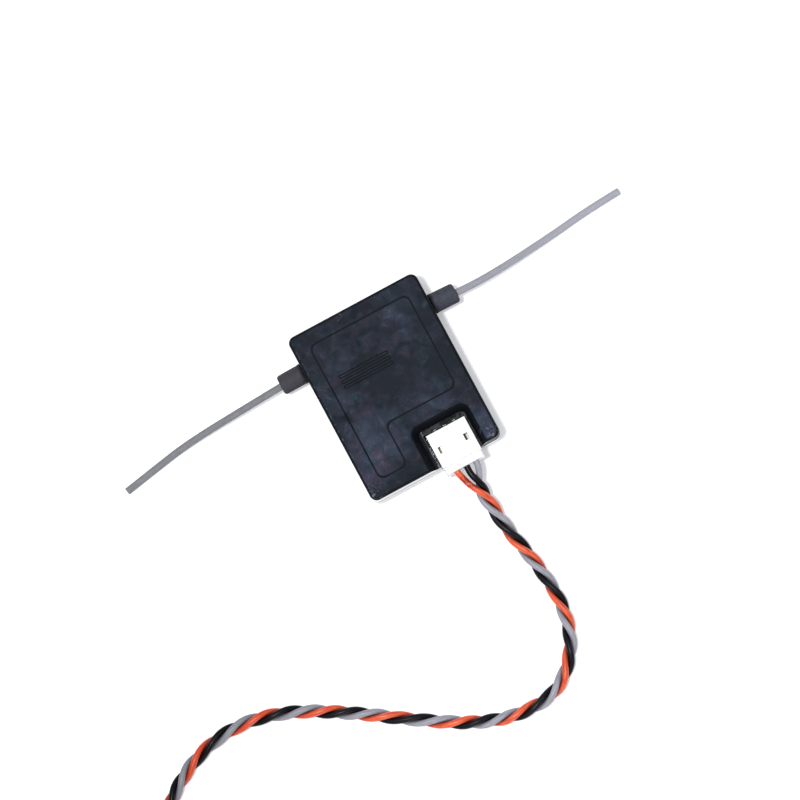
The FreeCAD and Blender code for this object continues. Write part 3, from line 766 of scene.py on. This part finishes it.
def wearAndEdgeHighlight(tree, place, across):
    # rubbed spots on the deck, and a fine broken pale line along its left edge as a painted highlight
    rubs = scuffMask(tree, place, casePlastic["rubSize"], casePlastic["rubAmount"])
    line, width = casePlastic["edgeHighlight"]
    off = mathNode(tree, "ABSOLUTE", mathNode(tree, "SUBTRACT", across, line * millimetre))
    wearAndHighlight = rangeNode(tree, off, width * millimetre, 0.0, 0.0, casePlastic["edgeHighlightShare"])
    for x, y, reach in casePlastic["wornSpots"]:
        spot = (x, y, casePlastic["deck"])
        wearAndHighlight = mathNode(tree, "ADD", wearAndHighlight, nearTo(tree, place, spot, casePlastic["wornCore"], reach))
    return mathNode(tree, "MULTIPLY", rubs, wearAndHighlight)


def polishMask(tree, place, height):
    # 1 on the upright sides, 0 on level and sloped faces, in the deck's sunk lines and along the seam
    upright = mathNode(tree, "SUBTRACT", 1.0, levelMask(tree, *casePlastic["sloped"]))
    top = casePlastic["polishHigh"] * millimetre
    below = rangeNode(tree, height, top + casePlastic["polishFade"] * millimetre, top)
    seam, width = casePlastic["seam"]
    off = mathNode(tree, "ABSOLUTE", mathNode(tree, "SUBTRACT", height, seam * millimetre))
    apart = rangeNode(tree, off, 0.0, width * millimetre)
    spot, low, high = casePlastic["dullEnd"]
    above = rangeNode(tree, height, (seam - width) * millimetre, seam * millimetre,
                      0.0, casePlastic["dullShare"])
    dulled = mathNode(tree, "MULTIPLY", nearTo(tree, place, spot, low, high), above)
    kept = mathNode(tree, "SUBTRACT", 1.0, dulled)
    smooth = mathNode(tree, "MULTIPLY", mathNode(tree, "MULTIPLY", upright, below), apart)
    return mathNode(tree, "MULTIPLY", smooth, kept)


def makeCasePlastic():
    material, tree, shader = newMaterial("case plastic", Specular_IOR_Level=casePlastic["specular"],
                                         Coat_Roughness=casePlastic["coatRoughness"],
                                         Specular_Tint=casePlastic["sheen"])
    place = objectPlace(tree)
    across, _, height = axes(tree, place)
    filmAndLitTop, clouds = makeFilmAndLitTop(tree, place)
    flat = levelMask(tree, *casePlastic["flat"])
    deck, deep = heightShares(tree, height)
    # the film with its painted light on level deck faces, the near-black elsewhere, which in the grooves and
    # on the rim is painted shade
    body = mixColour(tree, mathNode(tree, "MULTIPLY", flat, deck), casePlastic["under"], filmAndLitTop)
    body = mixColour(tree, mathNode(tree, "MULTIPLY", flat, deep), body, ledgeTone(tree, place, across))
    body = mixColour(tree, wearAndEdgeHighlight(tree, place, across), body, casePlastic["scuff"])
    link(tree, body, shader.inputs["Base Color"])
    link(tree, polishMask(tree, place, height), shader.inputs["Coat Weight"])
    setRoughness(tree, shader, clouds, casePlastic["roughness"])
    addGrain(tree, shader, place, *casePlastic["grain"])
    return material


# White nylon of the header and the plugs

whiteNylon = {
    "body": rgb(247, 247, 246),
    "shade": rgb(243, 244, 244),
    "warm": rgb(246, 245, 241),
    "cloudSize": 420.0,
    "roughness": (0.32, 0.46),
    "grain": (5000.0, 0.12, 0.01),
    # share of light that sinks in, how far in mm, and how that differs by colour
    "sinking": (0.08, 0.6, (1.0, 0.9, 0.8)),
}


def makeWhiteNylon():
    share, reach, byColour = whiteNylon["sinking"]
    material, tree, shader = newMaterial("white nylon", Subsurface_Weight=share, Subsurface_Radius=byColour,
                                         Subsurface_Scale=reach * millimetre)
    place = objectPlace(tree)
    colour, clouds = threeTones(tree, place, whiteNylon["cloudSize"],
                                (whiteNylon["body"], whiteNylon["warm"], whiteNylon["shade"]))
    link(tree, colour, shader.inputs["Base Color"])
    setRoughness(tree, shader, clouds, whiteNylon["roughness"])
    addGrain(tree, shader, place, *whiteNylon["grain"])
    return material


# Rubber of the sleeves

rubber = {
    # the top tones go on level faces and a darker tone on the flanks: painted shade, lighter on top
    "top": rgb(68, 72, 82),
    "paler": rgb(75, 78, 89),
    "darker": rgb(61, 65, 75),
    # the left sleeve has aged to a warmer grey than the right one
    "aged": rgb(68, 66, 72),
    "agedShare": 0.75,
    # darker flanks, by how steep the face is: painted shade
    "side": rgb(30, 33, 42),
    "shadeLevel": (0.1, 0.8),
    "foot": rgb(14, 15, 22),
    # how far out from the case's middle the black foot reaches and fades, in mm: the foot's own black
    # and painted shade of the case on it, and the size and reach of the noise that roughens its edge
    "footEnd": (10.4, 11.05),
    "footWarp": (900.0, 0.35),
    "specular": 0.25,
    "cloudSize": 620.0,
    "roughness": (0.66, 0.8),
    "grain": (5000.0, 0.15, 0.015),
}


def makeRubber():
    material, tree, shader = newMaterial("sleeve rubber", Specular_IOR_Level=rubber["specular"])
    place = objectPlace(tree)
    top, clouds = threeTones(tree, place, rubber["cloudSize"],
                             (rubber["top"], rubber["paler"], rubber["darker"]))
    across = axes(tree, warpedPlace(tree, place, *rubber["footWarp"]))[0]
    left = rangeNode(tree, across, millimetre, -millimetre, 0.0, rubber["agedShare"])
    top = mixColour(tree, left, top, rubber["aged"])
    # darker on the flanks than on top: painted shade
    body = mixColour(tree, levelMask(tree, *rubber["shadeLevel"]), rubber["side"], top)
    # near-black towards the case: the foot's own black and painted shade of the case on the sleeve's root
    low, high = rubber["footEnd"]
    out = rangeNode(tree, mathNode(tree, "ABSOLUTE", across), low * millimetre, high * millimetre)
    body = mixColour(tree, out, rubber["foot"], body)
    link(tree, body, shader.inputs["Base Color"])
    setRoughness(tree, shader, clouds, rubber["roughness"])
    addGrain(tree, shader, place, *rubber["grain"])
    return material


# Jackets of the antennas and the wires

jacket = {
    # how often the tones change once round the piece, and how often per mm along it
    "drawnOut": (4.0, 0.35, 1.0),
    "grain": (3.0, 0.1, 0.01),
    "speckSize": 1500.0,
    "speckAmount": 0.55,
    "stainSize": 2200.0,
    # length in mm over which a stain sets in and fades
    "stainEnds": (0.6, 0.9),
}


def makeJacket(name, tones, roughness, specular, tip=None, creviceShade=None, speck=None, stain=None):
    # tones drawn out along the piece's own UV map, where v is mm along it. The tip is the tone that
    # it turns to between two such places and how much of it, the stain a dirty stretch between two.
    material, tree, shader = newMaterial(name, Specular_IOR_Level=specular)
    place = objectPlace(tree)
    spot = addNode(tree, "TexCoord").outputs["UV"]
    mapping = addNode(tree, "Mapping", {"Scale": jacket["drawnOut"]})
    link(tree, spot, mapping.inputs["Vector"])
    drawn = mapping.outputs["Vector"]
    along = axes(tree, spot)[1]
    body, clouds = threeTones(tree, drawn, 1.0, tones)
    if tip:
        start, end, colour, most = tip
        body = mixColour(tree, rangeNode(tree, along, start, end, 0.0, most), body, colour)
    if stain:
        start, end, colour = stain
        setsIn, fades = jacket["stainEnds"]
        begun = rangeNode(tree, along, start, start + setsIn)
        rest = rangeNode(tree, along, end, end - fades)
        dirt = noiseNode(tree, place, jacket["stainSize"], detail=3.0, roughness=0.6)
        dirt = rangeNode(tree, dirt, 0.42, 0.56)
        share = mathNode(tree, "MULTIPLY", mathNode(tree, "MULTIPLY", begun, rest), dirt)
        body = mixColour(tree, share, body, colour)
    if speck:
        marks = scuffMask(tree, place, jacket["speckSize"], jacket["speckAmount"])
        body = mixColour(tree, marks, body, speck)
    # darker where the wires lie against each other: painted shade
    if creviceShade:
        deep = addNode(tree, "Attribute", attribute_name="creviceShade")
        body = mixColour(tree, deep.outputs["Fac"], body, creviceShade)
    link(tree, body, shader.inputs["Base Color"])
    setRoughness(tree, shader, clouds, roughness)
    addGrain(tree, shader, drawn, *jacket["grain"])
    return material


# Metals, board and the small parts inside

metal = {"cloudSize": 900.0, "grain": (9000.0, 0.1, 0.006)}
smallPart = {"grain": (8000.0, 0.15, 0.01)}


def makeMetal(name, body, stain, roughness, paintedShade=None):
    # the painted shade is a dark tone that the metal turns to between two places across the part, in mm
    material, tree, shader = newMaterial(name, Metallic=1.0)
    place = objectPlace(tree)
    colour, clouds = threeTones(tree, place, metal["cloudSize"], (body, stain, body))
    if paintedShade:
        start, end, shadeColour = paintedShade
        share = rangeNode(tree, axes(tree, place)[0], start * millimetre, end * millimetre)
        colour = mixColour(tree, share, colour, shadeColour)
    link(tree, colour, shader.inputs["Base Color"])
    setRoughness(tree, shader, clouds, roughness)
    addGrain(tree, shader, place, *metal["grain"])
    return material


def makePlain(name, tones, roughness, cloudSize):
    material, tree, shader = newMaterial(name)
    place = objectPlace(tree)
    colour, clouds = threeTones(tree, place, cloudSize, tones)
    link(tree, colour, shader.inputs["Base Color"])
    setRoughness(tree, shader, clouds, roughness)
    addGrain(tree, shader, place, *smallPart["grain"])
    return material


materials = {
    "case_black": makeCasePlastic(),
    "connector_white": makeWhiteNylon(),
    "sleeve_rubber": makeRubber(),
    "antenna_grey": makeJacket(
        "antenna jacket, right",
        tones=(rgb(160, 158, 172), rgb(151, 155, 160), rgb(168, 170, 175)),
        roughness=(0.55, 0.68), specular=0.25,
        tip=(7.0, 26.0, rgb(179, 180, 190), 0.65)),
    "wire_orange": makeJacket(
        "orange jacket",
        tones=(rgb(244, 97, 56), rgb(214, 68, 38), rgb(250, 116, 75)),
        roughness=(0.36, 0.5), specular=0.45,
        # the far end darkens, where less light falls on it: painted shade
        tip=(60.0, 100.0, rgb(213, 69, 28), 1.0),
        creviceShade=rgb(104, 22, 12), speck=rgb(120, 40, 26),
        stain=(1.4, 4.6, rgb(168, 42, 24))),
    "wire_black": makeJacket(
        "black jacket",
        tones=(rgb(22, 20, 26), rgb(16, 15, 20), rgb(30, 28, 36)),
        roughness=(0.34, 0.5), specular=0.17,
        # the far end darkens, where less light falls on it: painted shade
        tip=(60.0, 100.0, rgb(3, 3, 6), 1.0),
        creviceShade=rgb(4, 4, 5), speck=rgb(92, 92, 100)),
    "wire_grey": makeJacket(
        "grey jacket",
        tones=(rgb(162, 162, 172), rgb(150, 151, 162), rgb(174, 174, 184)),
        roughness=(0.4, 0.54), specular=0.4,
        # the far end darkens, where less light falls on it: painted shade
        tip=(60.0, 100.0, rgb(136, 136, 143), 1.0),
        creviceShade=rgb(92, 88, 96), speck=rgb(130, 128, 136)),
    "tin": makeMetal(
        "tinned steel", body=rgb(164, 165, 164), stain=rgb(142, 144, 144), roughness=(0.36, 0.52)),
    # the plug's right contact is painted dark as the shade deep in the right window, where it shows through
    "contact_brass": makeMetal(
        "contact metal", body=rgb(214, 208, 192), stain=rgb(192, 184, 164), roughness=(0.3, 0.46),
        paintedShade=(4.9, 5.2, rgb(52, 50, 50))),
    "board_green": makePlain(
        "board lacquer", tones=(rgb(24, 84, 52), rgb(20, 74, 46), rgb(30, 96, 60)),
        roughness=(0.25, 0.4), cloudSize=500.0),
    "ceramic_tan": makePlain(
        "ceramic", tones=(rgb(176, 150, 118), rgb(160, 134, 104), rgb(188, 164, 134)),
        roughness=(0.45, 0.6), cloudSize=1500.0),
    "lamp_amber": makePlain(
        "lamp lens", tones=(rgb(226, 150, 60), rgb(214, 136, 48), rgb(236, 168, 84)),
        roughness=(0.2, 0.35), cloudSize=1500.0),
    "chip_black": makePlain(
        "chip moulding", tones=(rgb(34, 34, 36), rgb(28, 28, 30), rgb(44, 44, 47)),
        roughness=(0.5, 0.68), cloudSize=900.0),
}
# the left antenna's jacket is a darker, more neutral copy of the right one's: painted shade
leftJacket = makeJacket(
    "antenna jacket, left",
    tones=(rgb(133, 134, 138), rgb(126, 127, 131), rgb(141, 142, 146)),
    roughness=(0.6, 0.72), specular=0.2)
print("materials ready:", len(materials) + 1)


def dress(piece, slot):
    piece.data.materials.clear()
    piece.data.materials.append(materials[slot])


# Sleeves of soft rubber at the antennas' exits

sleeve = {
    "radius": 1.46,
    "inner": 0.58,
    "sides": 56,
    "from": 9.3,
    "to": {"Right": 14.12, "Left": 13.98},
    "endRound": 0.42,
    "endSteps": 6,
    "boreDepth": 2.2,
    "axis": (8.15, 3.4),
    "wallFace": 10.2,
    # radius of the flared foot and the tapering spout at each distance in mm from the case's wall
    "profile": ((0.02, 1.46), (0.04, 1.66), (0.1, 1.6), (0.2, 1.54), (0.34, 1.49), (0.5, 1.465), (0.7, 1.46),
                (1.6, 1.46), (2.4, 1.455), (3.3, 1.445)),
    # how far the tip bends off along Y, and by which power of the distance from the wall
    "droop": {"Right": -0.1, "Left": -0.06},
    "droopPower": 1.5,
    "smoothAngle": 35,
    # vertices closer than this along the sleeve count as lying at one place
    "near": 0.001,
}


def ringAt(piece, x):
    # select the vertices that lie at one place along the sleeve
    bpy.ops.mesh.select_mode(type="VERT")
    bpy.ops.mesh.select_all(action="DESELECT")
    build = bmesh.from_edit_mesh(piece.data)
    for vertex in build.verts:
        vertex.select = abs(vertex.co.x - x) < sleeve["near"] * millimetre
    build.select_flush_mode()
    bmesh.update_edit_mesh(piece.data)


def shapeSleeve(piece, side, centre):
    # a ring at each distance of the profile, then each widened or narrowed to its radius
    rings = [(side * (sleeve["wallFace"] + away) * millimetre, radius) for away, radius in sleeve["profile"]]
    for x, radius in rings:
        bpy.ops.mesh.select_all(action="SELECT")
        bpy.ops.mesh.bisect(plane_co=(x, 0, 0), plane_no=(1, 0, 0))
    for x, radius in rings:
        ringAt(piece, x)
        scale = radius / sleeve["radius"]
        bpy.ops.transform.resize(value=(1, scale, scale), center_override=(x, centre.y, centre.z))


def openSleeve(piece, side, tip):
    # the bore at the tip, with the rim round it rounded off
    ringAt(piece, tip)
    scale = sleeve["profile"][-1][1] / sleeve["radius"]
    y, z = sleeve["axis"]
    bpy.ops.transform.resize(value=(1, scale, scale), center_override=(tip, y * millimetre, z * millimetre))
    bpy.ops.mesh.bevel(offset=sleeve["endRound"] * millimetre, segments=sleeve["endSteps"], profile=0.5)
    bpy.ops.mesh.select_mode(type="FACE")
    bpy.ops.mesh.select_all(action="DESELECT")
    build = bmesh.from_edit_mesh(piece.data)
    for face in build.faces:
        # of the faces at the tip only the flat end has more than four corners
        away = abs(face.calc_center_median().x - tip)
        face.select = len(face.verts) > 4 and away < sleeve["near"] * millimetre
    bmesh.update_edit_mesh(piece.data)
    narrow = (sleeve["profile"][-1][1] - sleeve["endRound"] - sleeve["inner"]) * millimetre
    bpy.ops.mesh.inset(thickness=narrow)
    bpy.ops.mesh.extrude_region_move(
        TRANSFORM_OT_translate={"value": (-side * sleeve["boreDepth"] * millimetre, 0, 0)})


def makeSleeve(label):
    side = 1 if label == "Right" else -1
    end = sleeve["to"][label]
    deselectAll()
    centre = metres((side * (end + sleeve["from"]) / 2, *sleeve["axis"]))
    bpy.ops.mesh.primitive_cylinder_add(vertices=sleeve["sides"], radius=sleeve["radius"] * millimetre,
                                        depth=(end - sleeve["from"]) * millimetre, location=centre,
                                        rotation=(0, math.radians(90), 0))
    piece = bpy.context.object
    piece.name = "sleeve" + label
    piece.data.name = piece.name
    bpy.ops.object.transform_apply(location=True, rotation=True, scale=True)
    bpy.ops.object.mode_set(mode="EDIT")
    shapeSleeve(piece, side, centre)
    openSleeve(piece, side, side * end * millimetre)
    bpy.ops.mesh.select_all(action="SELECT")
    bpy.ops.mesh.normals_make_consistent(inside=False)
    bpy.ops.object.mode_set(mode="OBJECT")
    for vertex in piece.data.vertices:
        out = max(abs(vertex.co.x) / millimetre - sleeve["wallFace"], 0.0) / (end - sleeve["wallFace"])
        vertex.co.y += sleeve["droop"][label] * out ** sleeve["droopPower"] * millimetre
    bpy.ops.object.shade_smooth_by_angle(angle=math.radians(sleeve["smoothAngle"]))
    return piece


sleeves = {label: makeSleeve(label) for label in ("Right", "Left")}
print("sleeves ready")


# Table and light

stage = {
    "floorSize": 6000.0,
    # just under the case, so that the two faces don't coincide
    "floorHeight": -0.03,
    "floorColour": rgb(246, 247, 250),
    "floorRoughness": 0.9,
    "floorSpecular": 0.1,
    # glow that only the camera and clear pieces see, and glow that only reflections see
    "whiteLift": 0.35,
    "glossLift": 0.62,
    "worldColour": rgb(240, 243, 252),
    "worldStrength": 0.36,
}


def makeFloor():
    deselectAll()
    bpy.ops.mesh.primitive_plane_add(size=stage["floorSize"] * millimetre,
                                     location=metres((0, 0, stage["floorHeight"])))
    floor = bpy.context.object
    floor.name = "tableTop"
    material, tree, shader = newMaterial("table top", Base_Color=stage["floorColour"],
                                         Roughness=stage["floorRoughness"],
                                         Specular_IOR_Level=stage["floorSpecular"],
                                         Emission_Color=(1, 1, 1, 1))
    path = addNode(tree, "LightPath")
    seen = mathNode(tree, "MAXIMUM", path.outputs["Is Camera Ray"], path.outputs["Is Transmission Ray"])
    plain = mathNode(tree, "MULTIPLY", seen, stage["whiteLift"])
    gloss = mathNode(tree, "MULTIPLY", path.outputs["Is Glossy Ray"], stage["glossLift"])
    link(tree, mathNode(tree, "MAXIMUM", plain, gloss), shader.inputs["Emission Strength"])
    floor.data.materials.append(material)
    floor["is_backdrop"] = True


def makeLamp(name, place, size, power, colour):
    deselectAll()
    bpy.ops.object.light_add(type="AREA", location=metres(place))
    lamp = bpy.context.object
    lamp.name = name
    lamp.data.shape = "DISK"
    lamp.data.size = size * millimetre
    lamp.data.energy = power
    lamp.data.color = colour
    # it shines towards the middle of the case
    lamp.rotation_euler = (-lamp.location).to_track_quat("-Z", "Y").to_euler()


lamps = {
    "front": {"place": (-120, -640, 230), "size": 260, "power": 0.7, "colour": (1.0, 1.0, 1.0)},
    "overhead": {"place": (-60, 220, 780), "size": 620, "power": 0.9, "colour": (1.0, 1.0, 1.0)},
    "key": {"place": (-125, -15, 900), "size": 80, "power": 4.5, "colour": (1.0, 0.99, 0.97)},
}

makeFloor()
for name, lamp in lamps.items():
    makeLamp(name, **lamp)
world = bpy.data.worlds.new("studio")
bpy.context.scene.world = world
world.use_nodes = True
background = world.node_tree.nodes["Background"]
background.inputs["Color"].default_value = stage["worldColour"]
background.inputs["Strength"].default_value = stage["worldStrength"]
bpy.context.scene.view_settings.view_transform = "Standard"
print("table and light ready")


# Materials on the CAD's own parts, then what each new piece stands for

nodeSlots = {
    "case_black": ["top_cover", "bottom_cover"],
    "connector_white": ["header_shroud", "plug_housing", "far_plug_housing"],
    "tin": ["shield_can", "header_tab_left", "header_tab_right", "header_pin_1", "header_pin_2",
            "header_pin_3", "crystal_can", "antenna_solder_left", "antenna_solder_right"],
    "contact_brass": ["near_contact_orange", "near_contact_black", "near_contact_grey",
                      "far_contact_orange", "far_contact_black", "far_contact_grey"],
    "board_green": ["circuit_board"],
    "ceramic_tan": ["output_filter"] + ["capacitor_%d" % i for i in range(1, 7)],
    "chip_black": ["radio_chip", "antenna_switch", "processor_chip", "voltage_regulator"]
    + ["resistor_%d" % i for i in range(1, 7)],
    "lamp_amber": ["status_led"],
}
for slot, names in nodeSlots.items():
    for name in names:
        dress(nodes[name], slot)

for label, (piece, path) in whips.items():
    dress(piece, "antenna_grey")
    if label == "Left":
        piece.data.materials[0] = leftJacket
    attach(piece, "root")
    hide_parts("antenna_wire_" + label.lower())

for label, piece in sleeves.items():
    dress(piece, "sleeve_rubber")
    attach(piece, "root")
    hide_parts("antenna_sleeve_" + label.lower())

for colour, (piece, path) in wires.items():
    low = colour.lower()
    dress(piece, "wire_" + low)
    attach(piece, "root")
    replaced = ["near_wire_" + low, "far_wire_" + low]
    if colour == "Black":
        replaced.append("lead_bundle")
    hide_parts(*replaced)
print("pieces declared")

low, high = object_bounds()
